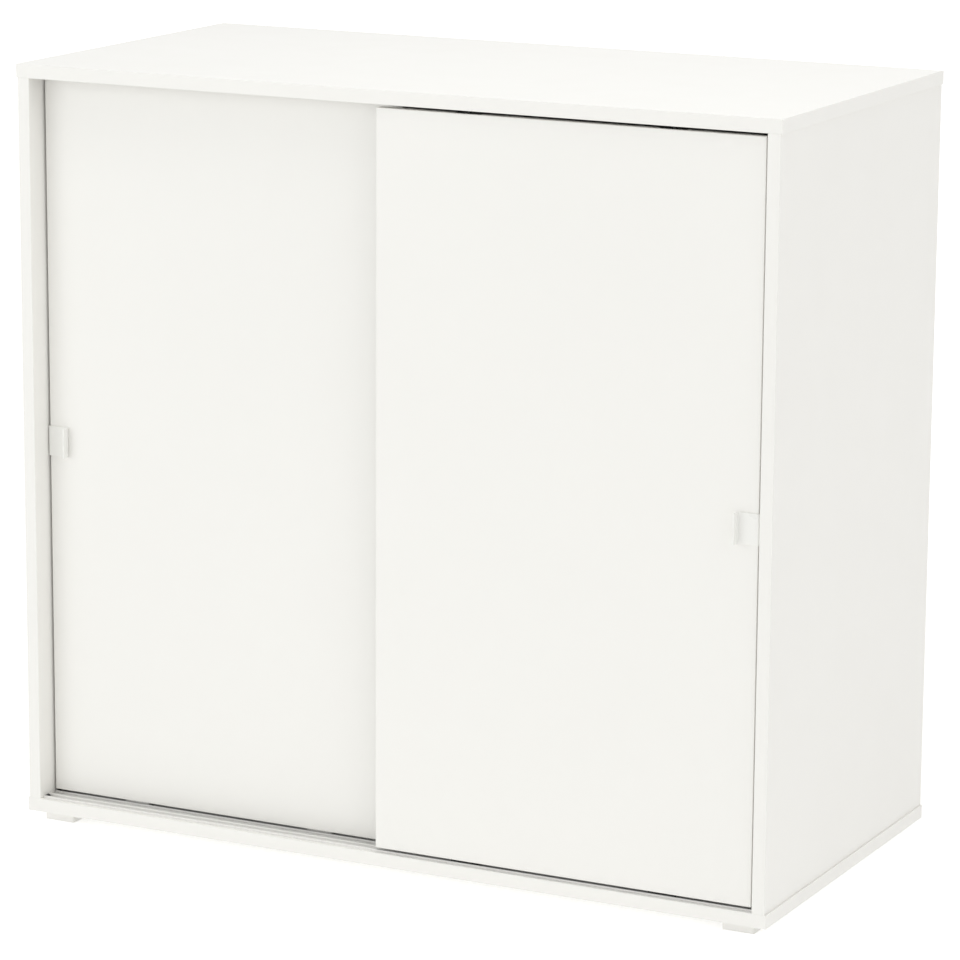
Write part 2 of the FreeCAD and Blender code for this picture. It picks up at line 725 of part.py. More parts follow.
def handle(face):
    """Folded sheet round the outer edge of a door, with a lip bent outwards."""
    edge_x = door_outer_x
    rear = face + door_thickness
    sheet = handle_sheet
    lip_x = edge_x - handle_plate_length
    tip = face - handle_lip
    outline = [
        (lip_x, face), (lip_x, tip), (lip_x + sheet, tip), (lip_x + sheet, face - sheet),
        (edge_x + sheet, face - sheet), (edge_x + sheet, rear), (edge_x - handle_return, rear),
        (edge_x - handle_return, rear - sheet), (edge_x, rear - sheet), (edge_x, face),
    ]
    low = door_middle_z - handle_height / 2
    points = [vector(x, y, low) for x, y in outline + outline[:1]]
    folded = Part.Face(Part.makePolygon(points)).extrude(vector(0, 0, handle_height))
    rounded = (
        (handle_inner_bend + sheet, [outline[0]]),
        (handle_tip_rounding, [outline[1], outline[2]]),
        (handle_inner_bend, [outline[3]]),
        (handle_outer_bend, [outline[4], outline[5]]),
    )
    for radius, corners in rounded:
        edges = [edge for edge in edges_along(folded, vector(0, 0, 1)) for x, y in corners
                 if edge.Vertexes[0].Point.isEqual(vector(x, y, edge.Vertexes[0].Z), same_place)]
        folded = folded.makeFillet(radius, edges)
    holes = [screw_hole(handle_countersunk, at, vector(0, -1, 0)) for at in handle_screws(face)]
    return folded.cut(holes)


def handle_screws(face):
    x = door_outer_x - handle_screw_inset
    rear = face + door_thickness
    return [vector(x, rear, door_middle_z + side * handle_screw_spacing / 2) for side in (-1, 1)]


def handle_pocket(face):
    """Recess in the rear face and edge that lets the return of the handle lie flush."""
    rear = face + door_thickness
    half = handle_height / 2 + handle_pocket_play
    inner = door_outer_x - handle_return - handle_pocket_play
    return box(inner, door_outer_x + overcut, rear - handle_sheet, rear + overcut,
               door_middle_z - half, door_middle_z + half)


def make_door(name, face, place):
    """One door with its fittings; place puts each piece on its own side of the cabinet."""
    rear = face + door_thickness
    slab = board(door_inner_x, door_outer_x, face, rear, door_low, door_high, door_rounding)
    inwards = vector(0, -1, 0)
    handle_places = handle_screws(face)
    cuts = [handle_pocket(face)]
    cuts += [screw_hole(handle_countersunk, at, inwards) for at in handle_places]
    fitting_screws = []
    for x in fitting_places():
        cuts += [guide_notch(x, face), glide_notch(x, face)]
        for at in guide_screws(x, face) + glide_screws(x, face):
            cuts.append(screw_hole(small_countersunk, at, inwards))
            fitting_screws.append(screw(small_countersunk, at, inwards))
    save(name + "_panel", place(slab.cut(cuts)))
    save(name + "_handle", place(handle(face)))
    handle_set = [screw(handle_countersunk, at, inwards) for at in handle_places]
    save(name + "_handle_screws", *[place(one) for one in handle_set])
    save(name + "_fitting_screws", *[place(one) for one in fitting_screws])
    save(name + "_top_guides", *[place(top_guide(x, face)) for x in fitting_places()])
    save(name + "_bottom_glides", *[place(bottom_glide(x, face)) for x in fitting_places()])
    for where, x in zip(("inner", "outer"), fitting_places()):
        save(name + "_guide_pin_" + where, place(guide_pin(x, face)))
        save(name + "_guide_spring_" + where, place(guide_spring(x, face)))


def write_parts():
    os.makedirs("parts", exist_ok=True)
    for name, shape in parts.items():
        if not shape.isValid():
            raise RuntimeError(name + " is not a valid shape")
        shape.exportStep(os.path.join("parts", name + ".step"))
        print(name, len(shape.Solids), "solids", round(shape.Volume / 1000, 2), "cm3")


make_carcase()
make_shelves()
make_door("front_door", front_door_face, lambda shape: shape)
make_door("rear_door", rear_door_face, mirrored)
write_parts()
print("door", round(door_width, 2), "mm wide, slides", round(door_travel, 2), "mm")
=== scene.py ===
import math
import bmesh
import bpy
from mathutils import Matrix, Vector


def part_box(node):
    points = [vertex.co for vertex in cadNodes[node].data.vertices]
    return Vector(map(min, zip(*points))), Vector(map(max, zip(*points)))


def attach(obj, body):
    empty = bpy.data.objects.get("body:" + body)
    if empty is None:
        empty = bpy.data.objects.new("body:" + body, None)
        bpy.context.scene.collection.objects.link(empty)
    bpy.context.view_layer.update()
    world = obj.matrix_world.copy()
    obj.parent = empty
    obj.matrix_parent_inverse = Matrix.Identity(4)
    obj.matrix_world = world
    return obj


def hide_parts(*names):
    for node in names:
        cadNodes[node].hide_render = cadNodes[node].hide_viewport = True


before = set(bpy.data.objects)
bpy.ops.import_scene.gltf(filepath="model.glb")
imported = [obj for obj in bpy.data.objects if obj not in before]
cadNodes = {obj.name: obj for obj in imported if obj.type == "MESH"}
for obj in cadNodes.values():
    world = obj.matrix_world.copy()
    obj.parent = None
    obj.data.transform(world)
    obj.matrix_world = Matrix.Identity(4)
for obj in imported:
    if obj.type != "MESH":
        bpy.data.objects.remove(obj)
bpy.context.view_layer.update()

# sliding door cabinet, metres, front towards -y, origin on the floor under the middle

mm = 0.001
xAxis = Vector((1, 0, 0))
yAxis = Vector((0, 1, 0))
zAxis = Vector((0, 0, 1))

closeBy = 0.02 * mm          # counts as the same place
weldReach = 0.001 * mm       # points closer than this become one
sameWay = 0.9                # a face turned this much along a direction looks that way
parallel = 0.99              # an edge turned this much along an axis runs along it
steps = dict(bend=6, corner=5, edge=4, leadIn=3)    # segments of what is rounded


# small helpers for modelling

def clearSelection():
    if bpy.context.object and bpy.context.object.mode != "OBJECT":
        bpy.ops.object.mode_set(mode="OBJECT")
    bpy.ops.object.select_all(action="DESELECT")


def takeUp(piece):
    # makes one piece the active and the only selected one
    clearSelection()
    bpy.context.view_layer.objects.active = piece
    piece.select_set(True)


def settle():
    bpy.ops.object.transform_apply(location=True, rotation=True, scale=True)


def startEditing(piece):
    takeUp(piece)
    bpy.ops.object.mode_set(mode="EDIT")


def stopEditing():
    # merges what lies on one spot and turns every face outwards
    bpy.ops.mesh.select_all(action="SELECT")
    bpy.ops.mesh.remove_doubles(threshold=weldReach)
    bpy.ops.mesh.normals_make_consistent(inside=False)
    bpy.ops.object.mode_set(mode="OBJECT")


def addBlock(name, low, high):
    # a block between two corners, the start of most pieces
    clearSelection()
    low = Vector(low)
    high = Vector(high)
    bpy.ops.mesh.primitive_cube_add(size=1, location=(low + high) / 2, scale=high - low)
    piece = bpy.context.object
    piece.name = name
    settle()
    return piece


def addBar(name, start, way, length, radius, endRadius=None, sides=32):
    # a round bar from a start point along a direction, tapered if its far radius differs
    clearSelection()
    way = Vector(way)
    bpy.ops.mesh.primitive_cone_add(
        vertices=sides, radius1=radius, radius2=radius if endRadius is None else endRadius,
        depth=length, location=Vector(start) + way * length / 2,
        rotation=way.to_track_quat("Z", "Y").to_euler())
    piece = bpy.context.object
    piece.name = name
    settle()
    return piece


def pick(kind, test):
    # edit mode: selects the faces, edges or points that pass a test, and nothing else
    bpy.ops.mesh.select_mode(type=kind)
    bpy.ops.mesh.select_all(action="DESELECT")
    mesh = bpy.context.object.data
    shape = bmesh.from_edit_mesh(mesh)
    items = {"FACE": shape.faces, "EDGE": shape.edges, "VERT": shape.verts}[kind]
    for item in items:
        if test(item):
            item.select_set(True)
    shape.select_flush_mode()
    bmesh.update_edit_mesh(mesh)


def near(a, b):
    return abs(a - b) < closeBy


def runsAlong(edge, axis):
    way = (edge.verts[1].co - edge.verts[0].co).normalized()
    return abs(way.dot(axis)) > parallel


def facesTo(face, way):
    return face.normal.dot(way) > sameWay


def middle(edge):
    return (edge.verts[0].co + edge.verts[1].co) / 2


def centre(face):
    return face.calc_center_median()


def pushOut(move):
    bpy.ops.mesh.extrude_region_move(TRANSFORM_OT_translate={"value": move})


def roundEdges(radius, segments):
    bpy.ops.mesh.bevel(offset=radius, segments=segments, affect="EDGES")


def cutAcross(axis, place):
    # a new loop of edges where a plane crosses the piece
    bpy.ops.mesh.select_all(action="SELECT")
    bpy.ops.mesh.bisect(plane_co=axis * place, plane_no=axis)


def addModifier(piece, kind, **settings):
    takeUp(piece)
    modifier = piece.modifiers.new(kind.lower(), kind)
    for key, value in settings.items():
        setattr(modifier, key, value)
    bpy.ops.object.modifier_apply(modifier=modifier.name)


def softenEdges(piece, width, segments=2, angle=40):
    addModifier(piece, "BEVEL", width=width, segments=segments, limit_method="ANGLE",
                angle_limit=math.radians(angle), harden_normals=False)


def smooth(piece, angle=35):
    takeUp(piece)
    bpy.ops.object.shade_smooth_by_angle(angle=math.radians(angle))


def subtract(piece, cutter):
    addModifier(piece, "BOOLEAN", object=cutter, operation="DIFFERENCE", solver="EXACT")
    bpy.data.objects.remove(cutter)


def bore(piece, place, way, radius, depth, sides=32):
    # a straight hole whose cutter starts a little outside the surface
    start = Vector(place) - Vector(way) * mm
    subtract(piece, addBar("cutter", start, way, depth + mm, radius, sides=sides))


def sinkScrew(piece, place, way, screw, depth):
    # a hole for a countersunk screw whose head lies flush at the place
    slope = (screw["head"] - screw["shank"]) / screw["sink"]
    over = 0.4 * mm          # the cone starts this far outside
    start = Vector(place) - Vector(way) * over
    bore(piece, place, way, screw["shank"], depth)
    subtract(piece, addBar("cutter", start, way, screw["sink"] + over,
                           screw["head"] + over * slope, screw["shank"]))


def sideBySide(centreLine, spacing):
    return (centreLine - spacing / 2, centreLine + spacing / 2)


def copyPiece(piece, name, move=(0, 0, 0), flips=""):
    # a copy with its own mesh, mirrored across the middle of the cabinet along each axis in flips
    takeUp(piece)
    bpy.ops.object.duplicate(linked=False)
    twin = bpy.context.object
    twin.name = name
    for axis in flips:
        setattr(twin.scale, axis, -1)
    twin.location = move
    settle()
    startEditing(twin)
    stopEditing()
    return twin


def joinPieces(name, pieces):
    clearSelection()
    for piece in pieces:
        piece.select_set(True)
    bpy.context.view_layer.objects.active = pieces[0]
    bpy.ops.object.join()
    pieces[0].name = name
    return pieces[0]


def setMaterial(piece, material):
    piece.data.materials.clear()
    piece.data.materials.append(material)


def fitOut(piece, body, node, slot, material):
    # sets the material, hangs the piece on its body and hides the node that it stands for
    setMaterial(piece, material)
    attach(piece, body)
    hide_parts(node)


# small helpers for materials

def fillInputs(tree, node, inputs):
    # an output is linked, anything else is set as a value
    for key, value in inputs.items():
        if isinstance(value, bpy.types.NodeSocket):
            tree.links.new(value, node.inputs[key])
        else:
            node.inputs[key].default_value = value


def addNode(tree, kind, inputs=None, **settings):
    node = tree.nodes.new("ShaderNode" + kind)
    for key, value in settings.items():
        setattr(node, key, value)
    fillInputs(tree, node, inputs or {})
    return node


def math2(tree, operation, a, b=0.0):
    return addNode(tree, "Math", {0: a, 1: b}, operation=operation).outputs[0]


def vector2(tree, operation, a, b):
    return addNode(tree, "VectorMath", {0: a, 1: b}, operation=operation).outputs[0]


def mixColour(tree, share, a, b, blend="MIX"):
    # 6 and 7 are the colour sockets of this node, 2 and 3 its plain numbers
    return addNode(tree, "Mix", {0: share, 6: a, 7: b}, data_type="RGBA", blend_type=blend).outputs[2]


def mixValue(tree, share, a, b):
    return addNode(tree, "Mix", {0: share, 2: a, 3: b}).outputs[0]


def ramp(tree, value, span, target=(0.0, 1.0)):
    # carries one span of values over to another
    inputs = {0: value, 1: span[0], 2: span[1], 3: target[0], 4: target[1]}
    return addNode(tree, "MapRange", inputs).outputs[0]


def noise(tree, place, scale, detail):
    return addNode(tree, "TexNoise", {"Vector": place, "Scale": scale, "Detail": detail}).outputs[0]


def stretch(tree, place, scale):
    return addNode(tree, "Mapping", {"Vector": place, "Scale": scale}).outputs[0]


def split(tree, vector):
    return addNode(tree, "SeparateXYZ", {0: vector}).outputs


def objectPlace(tree):
    return addNode(tree, "TexCoord").outputs["Object"]


def startGroup(name, inputs, outputs):
    tree = bpy.data.node_groups.new(name, "ShaderNodeTree")
    for label, (kind, value) in inputs.items():
        socket = tree.interface.new_socket(label, in_out="INPUT", socket_type="NodeSocket" + kind)
        socket.default_value = value
    for label, kind in outputs.items():
        tree.interface.new_socket(label, in_out="OUTPUT", socket_type="NodeSocket" + kind)
    return tree, tree.nodes.new("NodeGroupInput").outputs, tree.nodes.new("NodeGroupOutput").inputs


def useGroup(tree, group, inputs):
    node = tree.nodes.new("ShaderNodeGroup")
    node.node_tree = group
    fillInputs(tree, node, inputs)
    return node.outputs


def startMaterial(name, **constants):
    # constants go straight on the shader's own sockets
    material = bpy.data.materials.new(name)
    material.use_nodes = True
    tree = material.node_tree
    shader = tree.nodes["Principled BSDF"]
    for key, value in constants.items():
        shader.inputs[key.replace("_", " ")].default_value = value
    return material, tree, shader


def finishSkin(tree, shader, colour, roughness, height, bumpDepth):
    tree.links.new(colour, shader.inputs["Base Color"])
    tree.links.new(roughness, shader.inputs["Roughness"])
    bump = addNode(tree, "Bump", {"Strength": 1.0, "Distance": bumpDepth, "Height": height})
    tree.links.new(bump.outputs[0], shader.inputs["Normal"])


# effects that several materials share

skinLook = dict(
    toneScale=3.1,
    toneDetail=4.0,
    glossScale=21.0,
    glossDetail=5.0,
    grainDetail=2.0,
    spread=(0.3, 0.7),       # of the noise that counts
)


def makeSkinGroup():
    # slow drift of tone, patches of gloss and a fine grain that never repeats
    tree, given, result = startGroup("skinGrain", {
        "Colour": ("Color", (0.8, 0.8, 0.8, 1)),
        "Drift": ("Float", 0.02),
        "Gloss": ("Float", 0.4),
        "Gloss Drift": ("Float", 0.05),
        "Grain Size": ("Float", 0.6 * mm),
    }, {"Colour": "Color", "Roughness": "Float", "Height": "Float"})
    look = skinLook
    place = objectPlace(tree)
    broad = noise(tree, place, look["toneScale"], look["toneDetail"])
    patches = noise(tree, place, look["glossScale"], look["glossDetail"])
    grain = noise(tree, place, math2(tree, "DIVIDE", 1.0, given["Grain Size"]), look["grainDetail"])
    tone = math2(tree, "MULTIPLY", ramp(tree, broad, look["spread"]), given["Drift"])
    keep = math2(tree, "SUBTRACT", 1.0, tone)
    shade = addNode(tree, "CombineColor", {0: keep, 1: keep, 2: keep}).outputs[0]
    tree.links.new(mixColour(tree, 1.0, given["Colour"], shade, "MULTIPLY"), result["Colour"])
    patches = ramp(tree, patches, look["spread"], (-1.0, 1.0))
    swing = math2(tree, "MULTIPLY", patches, given["Gloss Drift"])
    tree.links.new(math2(tree, "ADD", given["Gloss"], swing), result["Roughness"])
    tree.links.new(grain, result["Height"])
    return tree


def makeBoardGroup():
    # which parts of a board are its cut core, and which lie on its outer edges
    tree, given, result = startGroup("boardParts", {
        "Low": ("Vector", (0, 0, 0)),
        "High": ("Vector", (1, 1, 1)),
        "Skin": ("Float", 0.35 * mm),
        "Arris": ("Float", 1.2 * mm),
    }, {"Core": "Float", "Edge": "Float"})
    place = objectPlace(tree)
    fromLow = vector2(tree, "SUBTRACT", place, given["Low"])
    fromHigh = vector2(tree, "SUBTRACT", given["High"], place)
    depth = split(tree, vector2(tree, "MINIMUM", fromLow, fromHigh))
    shorter = math2(tree, "MINIMUM", depth["X"], depth["Y"])
    longer = math2(tree, "MAXIMUM", depth["X"], depth["Y"])
    least = math2(tree, "MINIMUM", shorter, depth["Z"])
    second = math2(tree, "MAXIMUM", shorter, math2(tree, "MINIMUM", longer, depth["Z"]))
    tree.links.new(math2(tree, "GREATER_THAN", least, given["Skin"]), result["Core"])
    share = math2(tree, "DIVIDE", second, given["Arris"])
    tree.links.new(ramp(tree, share, (0.0, 1.0), (1.0, 0.0)), result["Edge"])
    return tree


dustLook = dict(
    scale=34.0,
    detail=6.0,
    slopes=(0.6, 1.0),       # how far a face has to look up
    clouds=(0.35, 0.75),
)


def makeDustGroup():
    # a thin uneven veil on whatever faces up
    tree, given, result = startGroup("dustVeil", {
        "Colour": ("Color", (0.8, 0.8, 0.8, 1)),
        "Dust": ("Color", (0.72, 0.7, 0.66, 1)),
        "Amount": ("Float", 0.05),
    }, {"Colour": "Color"})
    up = split(tree, addNode(tree, "NewGeometry").outputs["Normal"])["Z"]
    clouds = noise(tree, objectPlace(tree), dustLook["scale"], dustLook["detail"])
    lying = ramp(tree, up, dustLook["slopes"])
    veil = math2(tree, "MULTIPLY", lying, ramp(tree, clouds, dustLook["clouds"]))
    veil = math2(tree, "MULTIPLY", veil, given["Amount"])
    tree.links.new(mixColour(tree, veil, given["Colour"], given["Dust"]), result["Colour"])
    return tree


skinGroup = makeSkinGroup()
boardGroup = makeBoardGroup()
dustGroup = makeDustGroup()
print("stage: shared effects ready")


# materials

foil = dict(
    colour=(0.89, 0.879, 0.845, 1),
    drift=0.012,
    gloss=0.42,
    glossDrift=0.04,
    grainSize=0.5 * mm,
    grainDepth=0.008 * mm,
    edgeTone=0.05,
    worn=(0.70, 0.68, 0.64, 1),
    dust=0.03,
    # painted shade on the lower edge of each door, and how far up it reaches
    paintedUndersideShade=(0.03, 0.03, 0.03, 1),
    paintedShadeReach=0.1 * mm,
)
chipboard = dict(
    light=(0.55, 0.41, 0.25, 1),
    dark=(0.27, 0.18, 0.10, 1),
    flakeSize=1.6 * mm,
    roughness=0.85,
)


def addSkin(tree, finish):
    # the shared grain with the values of one finish
    return useGroup(tree, skinGroup, {
        "Colour": finish["colour"], "Drift": finish["drift"], "Gloss": finish["gloss"],
        "Gloss Drift": finish["glossDrift"], "Grain Size": finish["grainSize"]})


def boardFoil(node):
    # white foil all round, and raw chipboard where a groove, notch or hole goes in
    low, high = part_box(node)
    material, tree, shader = startMaterial("foil_" + node)
    parts = useGroup(tree, boardGroup, {"Low": low, "High": high})
    skin = addSkin(tree, foil)
    rubbed = math2(tree, "MULTIPLY", parts["Edge"], foil["edgeTone"])
    worn = mixColour(tree, rubbed, skin["Colour"], foil["worn"])
    dusty = useGroup(tree, dustGroup, {"Colour": worn, "Amount": foil["dust"]})
    flakes = addNode(tree, "TexVoronoi", {
        "Vector": objectPlace(tree), "Scale": 1 / chipboard["flakeSize"]})
    pale = addNode(tree, "SeparateColor", {0: flakes.outputs["Color"]}).outputs[0]
    chips = mixColour(tree, pale, chipboard["dark"], chipboard["light"])
    colour = mixColour(tree, parts["Core"], dusty["Colour"], chips)
    rough = mixValue(tree, parts["Core"], skin["Roughness"], chipboard["roughness"])
    if node.endswith("door_panel"):
        # painted shade: near black on the lower edge that the door stands on, darkening the gap beneath
        # the door
        height = split(tree, objectPlace(tree))["Z"]
        below = math2(tree, "LESS_THAN", height, low.z + foil["paintedShadeReach"])
        colour = mixColour(tree, below, colour, foil["paintedUndersideShade"])
    finishSkin(tree, shader, colour, rough, skin["Height"], foil["grainDepth"])
    return material


backPaint = dict(foil, gloss=0.5, grainSize=0.9 * mm)
backFibre = dict(
    dark=(0.30, 0.20, 0.12, 1),
    light=(0.47, 0.34, 0.22, 1),
    cloud=(0.36, 0.25, 0.16, 1),
    cloudScale=9.0,
    cloudDetail=4.0,
    cloudSpan=(0.4, 0.7),
    cloudShare=0.25,
    scale=900.0,
    detail=5.0,
    span=(0.35, 0.65),
    stretch=(1.0, 1.0, 0.35),
    roughness=0.78,
    depth=0.05 * mm,
    paintShare=0.1,          # of the sheet's thickness
)


def hardboard(node):
    # painted on the inner side, bare pressed fibre behind
    low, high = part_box(node)
    material, tree, shader = startMaterial("hardboard_" + node)
    fibre = backFibre
    skin = addSkin(tree, backPaint)
    place = objectPlace(tree)
    fibres = noise(tree, stretch(tree, place, fibre["stretch"]), fibre["scale"], fibre["detail"])
    clouds = noise(tree, place, fibre["cloudScale"], fibre["cloudDetail"])
    bare = mixColour(tree, ramp(tree, fibres, fibre["span"]), fibre["dark"], fibre["light"])
    cloudy = ramp(tree, clouds, fibre["cloudSpan"], (0.0, fibre["cloudShare"]))
    bare = mixColour(tree, cloudy, bare, fibre["cloud"])
    paintEnd = low.y + fibre["paintShare"] * (high.y - low.y)
    painted = math2(tree, "LESS_THAN", split(tree, place)["Y"], paintEnd)
    colour = mixColour(tree, painted, bare, skin["Colour"])
    rough = mixValue(tree, painted, fibre["roughness"], skin["Roughness"])
    height = mixValue(tree, painted, fibres, skin["Height"])
    finishSkin(tree, shader, colour, rough, height, fibre["depth"])
    return material


def plainSkin(name, finish, **constants):
    # moulded, painted or plated pieces that share one build
    material, tree, shader = startMaterial(name, **constants)
    skin = addSkin(tree, finish)
    dusty = useGroup(tree, dustGroup, {"Colour": skin["Colour"], "Amount": finish["dust"]})
    finishSkin(tree, shader, dusty["Colour"], skin["Roughness"], skin["Height"], finish["grainDepth"])
    return material


dowelWood = dict(
    colour=(0.66, 0.47, 0.30, 1),
    line=(0.46, 0.30, 0.17, 1),
    lineShare=0.5,
    lineSpan=(0.4, 0.6),
    scale=1400.0,
    detail=4.0,
    stretch=(1.0, 1.0, 0.06),
    depth=0.05 * mm,
    drift=0.15,
    gloss=0.6,
    glossDrift=0.1,
    grainSize=0.3 * mm,
)


def beechWood():
    # pressed dowels, grain along z
    wood = dowelWood
    material, tree, shader = startMaterial("beech")
    place = stretch(tree, objectPlace(tree), wood["stretch"])
    grain = noise(tree, place, wood["scale"], wood["detail"])
    skin = addSkin(tree, wood)
    lines = ramp(tree, grain, wood["lineSpan"], (0.0, wood["lineShare"]))
    colour = mixColour(tree, lines, skin["Colour"], wood["line"])
    finishSkin(tree, shader, colour, skin["Roughness"], grain, wood["depth"])
    return material


moulded = dict(
    colour=(0.89, 0.879, 0.85, 1),
    drift=0.02,
    gloss=0.38,
    glossDrift=0.05,
    grainSize=0.35 * mm,
    grainDepth=0.004 * mm,
    dust=0.03,
)
railMoulded = dict(moulded, drift=0.015)
# painted shade: grey painted into the channels of both rails, streaked along them, to darken them as the
# shade in the grooves would
channelPaintedShade = dict(
    colour=(0.66, 0.655, 0.63, 1),
    amount=0.5,
    edge=2.4 * mm,           # the outer walls stay unshaded to this depth from the front and rear
    lip=0.7 * mm,            # and every wall this far from its free edge
    streak=(3.0, 240.0, 240.0),
    detail=3.0,
    span=(0.3, 0.7),
    least=0.7,               # of the full amount between the streaks
)


def railPlastic(name, node, opensUp):
    # white plastic, with painted shade greying the insides of the channels
    low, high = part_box(node)
    paintedShade = channelPaintedShade
    material, tree, shader = startMaterial(name)
    skin = addSkin(tree, railMoulded)
    place = objectPlace(tree)
    along = split(tree, place)
    behind = math2(tree, "GREATER_THAN", along["Y"], low.y + paintedShade["edge"])
    before = math2(tree, "LESS_THAN", along["Y"], high.y - paintedShade["edge"])
    if opensUp:
        inside = math2(tree, "LESS_THAN", along["Z"], high.z - paintedShade["lip"])
    else:
        inside = math2(tree, "GREATER_THAN", along["Z"], low.z + paintedShade["lip"])
    channel = math2(tree, "MULTIPLY", math2(tree, "MULTIPLY", behind, before), inside)
    streaks = noise(tree, stretch(tree, place, paintedShade["streak"]), 1.0, paintedShade["detail"])
    uneven = ramp(tree, streaks, paintedShade["span"], (paintedShade["least"], 1.0))
    share = math2(tree, "MULTIPLY", math2(tree, "MULTIPLY", channel, uneven), paintedShade["amount"])
    colour = mixColour(tree, share, skin["Colour"], paintedShade["colour"])
    finishSkin(tree, shader, colour, skin["Roughness"], skin["Height"], railMoulded["grainDepth"])
    return material


blackMoulded = dict(
    colour=(0.012, 0.012, 0.013, 1),
    drift=0.02,
    gloss=0.45,
    glossDrift=0.08,
    grainSize=0.3 * mm,
    grainDepth=0.01 * mm,
    dust=0.04,
)
powderCoat = dict(
    colour=(0.88, 0.877, 0.845, 1),
    drift=0.01,
    gloss=0.30,
    glossDrift=0.04,
    grainSize=0.8 * mm,
    grainDepth=0.012 * mm,
    dust=0.0,
)
zincPlate = dict(
    colour=(0.62, 0.63, 0.65, 1),
    drift=0.12,
    gloss=0.32,
    glossDrift=0.12,
    grainSize=0.5 * mm,
    grainDepth=0.02 * mm,
    dust=0.0,
)
whitePlastic = plainSkin("white_plastic", moulded)
bottomRailPlastic = railPlastic("bottom_rail_plastic", "bottom_rail", True)
topRailPlastic = railPlastic("top_rail_plastic", "top_rail", False)
blackPlastic = plainSkin("black_plastic", blackMoulded)
whiteMetal = plainSkin("white_metal", powderCoat)
zincSteel = plainSkin("zinc_steel", zincPlate, Metallic=1.0)
beech = beechWood()

boards = ("top_panel", "bottom_panel", "left_side_panel", "right_side_panel", "centre_partition",
          "front_door_panel", "rear_door_panel", "shelf_left_lower", "shelf_left_upper",
          "shelf_right_lower", "shelf_right_upper")
# black; for the rail end plugs this is painted shade at the ends of the channels
blackPieces = ("front_door_bottom_glides", "rail_end_plugs")
whitePieces = ("back_joint_strip", "shelf_pins", "top_rail", "bottom_rail", "rear_door_bottom_glides")


def finishFor(name):
    if name in boards:
        return boardFoil(name)
    if name.startswith("back_panel"):
        return hardboard(name)
    if name in blackPieces or "guide_pin" in name or name.endswith("guides"):
        return blackPlastic
    if name.endswith("handle"):
        return whiteMetal
    if name == "wooden_dowels":
        return beech
    if name in whitePieces or name.startswith(("foot_front", "foot_rear")):
        return whitePlastic
    return zincSteel


for name, node in cadNodes.items():
    setMaterial(node, finishFor(name))
print("stage: materials on", len(cadNodes), "carried-over pieces")


# screws that the pieces below leave room for

smallScrew = dict(head=2.85 * mm, shank=1.55 * mm, sink=1.3 * mm)
railScrew = dict(head=3.05 * mm, shank=1.55 * mm, sink=1.6 * mm)

frontDoorLow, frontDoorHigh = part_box("front_door_panel")
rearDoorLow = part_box("rear_door_panel")[0]
doorStep = rearDoorLow.y - frontDoorLow.y    # from one door plane to the other


# folded sheet metal

def foldStrip(name, corners, across, bends):
    # a strip folded along lines that run across it; corners lie on the side away from its thickness
    first = corners[1] - corners[0]
    u = first.normalized()
    v = across.normalized()
    turn = Matrix((u, v, u.cross(v))).transposed()
    clearSelection()
    bpy.ops.mesh.primitive_plane_add(
        size=1, location=(corners[0] + corners[1]) / 2 + across / 2, rotation=turn.to_euler())
    piece = bpy.context.object
    piece.name = name
    piece.scale = (first.length, across.length, 1)
    settle()
    startEditing(piece)
    line = corners[1]
    pick("EDGE", lambda edge: runsAlong(edge, v) and near((middle(edge) - line).dot(u), 0))
    for here, there in zip(corners[1:], corners[2:]):
        pushOut(there - here)
    for corner, bend in zip(corners[1:], bends):
        pick("EDGE", lambda edge: runsAlong(edge, v)
             and near((middle(edge) - corner).cross(v).length, 0))
        roundEdges(bend, steps["bend"])
    bpy.ops.object.mode_set(mode="OBJECT")
    return piece


def roundCorners(piece, test, radius):
    startEditing(piece)
    pick("VERT", lambda point: test(point.co))
    bpy.ops.mesh.bevel(offset=radius, segments=steps["corner"], affect="VERTICES")
    bpy.ops.object.mode_set(mode="OBJECT")


def thicken(piece, sheet, arris):
    addModifier(piece, "SOLIDIFY", thickness=sheet, offset=1, use_even_offset=True)
    startEditing(piece)
    stopEditing()
    softenEdges(piece, arris)


handleShape = dict(
    sheet=1.8 * mm,
    lipBend=2.8 * mm,
    edgeBend=0.8 * mm,       # sits on the rounded arris of the door
    pocketBend=0.3 * mm,
    backLength=22 * mm,      # how far it reaches along the rear face of the door
    corner=1.2 * mm,
    arris=0.35 * mm,
    screwInset=12 * mm,
    screwSpacing=18 * mm,
)


def makeHandles():
    low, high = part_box("front_door_handle")
    size = handleShape
    front = frontDoorLow.y
    side = frontDoorHigh.x
    rear = frontDoorHigh.y
    pocketFloor = rear - size["sheet"]
    backEnd = side - size["backLength"]
    outline = ((low.x, low.y), (low.x, front), (side, front),
               (side, pocketFloor), (backEnd, pocketFloor))
    corners = [Vector((x, y, low.z)) for x, y in outline]
    bends = (size["lipBend"], size["edgeBend"], size["pocketBend"])
    handle = foldStrip("frontDoorHandle", corners, zAxis * (high.z - low.z), bends)
    roundCorners(handle, lambda place: near(place.y, low.y), size["corner"])
    roundCorners(handle, lambda place: near(place.x, backEnd) and near(place.y, pocketFloor),
                 size["corner"])
    thicken(handle, size["sheet"], size["arris"])
    for z in sideBySide((low.z + high.z) / 2, size["screwSpacing"]):
        sinkScrew(handle, (side - size["screwInset"], rear, z), -yAxis, smallScrew, 2 * size["sheet"])
    smooth(handle)
    other = copyPiece(handle, "rearDoorHandle", (0, doorStep, 0), "x")
    fitOut(handle, "front_door", "front_door_handle", "white_metal", whiteMetal)
    fitOut(other, "rear_door", "rear_door_handle", "white_metal", whiteMetal)


makeHandles()
print("stage: handles")


bracketShape = dict(
    sheet=2 * mm,
    bend=3 * mm,
    corner=3 * mm,
    arris=0.3 * mm,
    wallHole=3 * mm,
    wallHoleDrop=22 * mm,
    screwHole=1.8 * mm,
    holeSides=40,
    screwInset=8 * mm,
    screwSpacing=13 * mm,
)


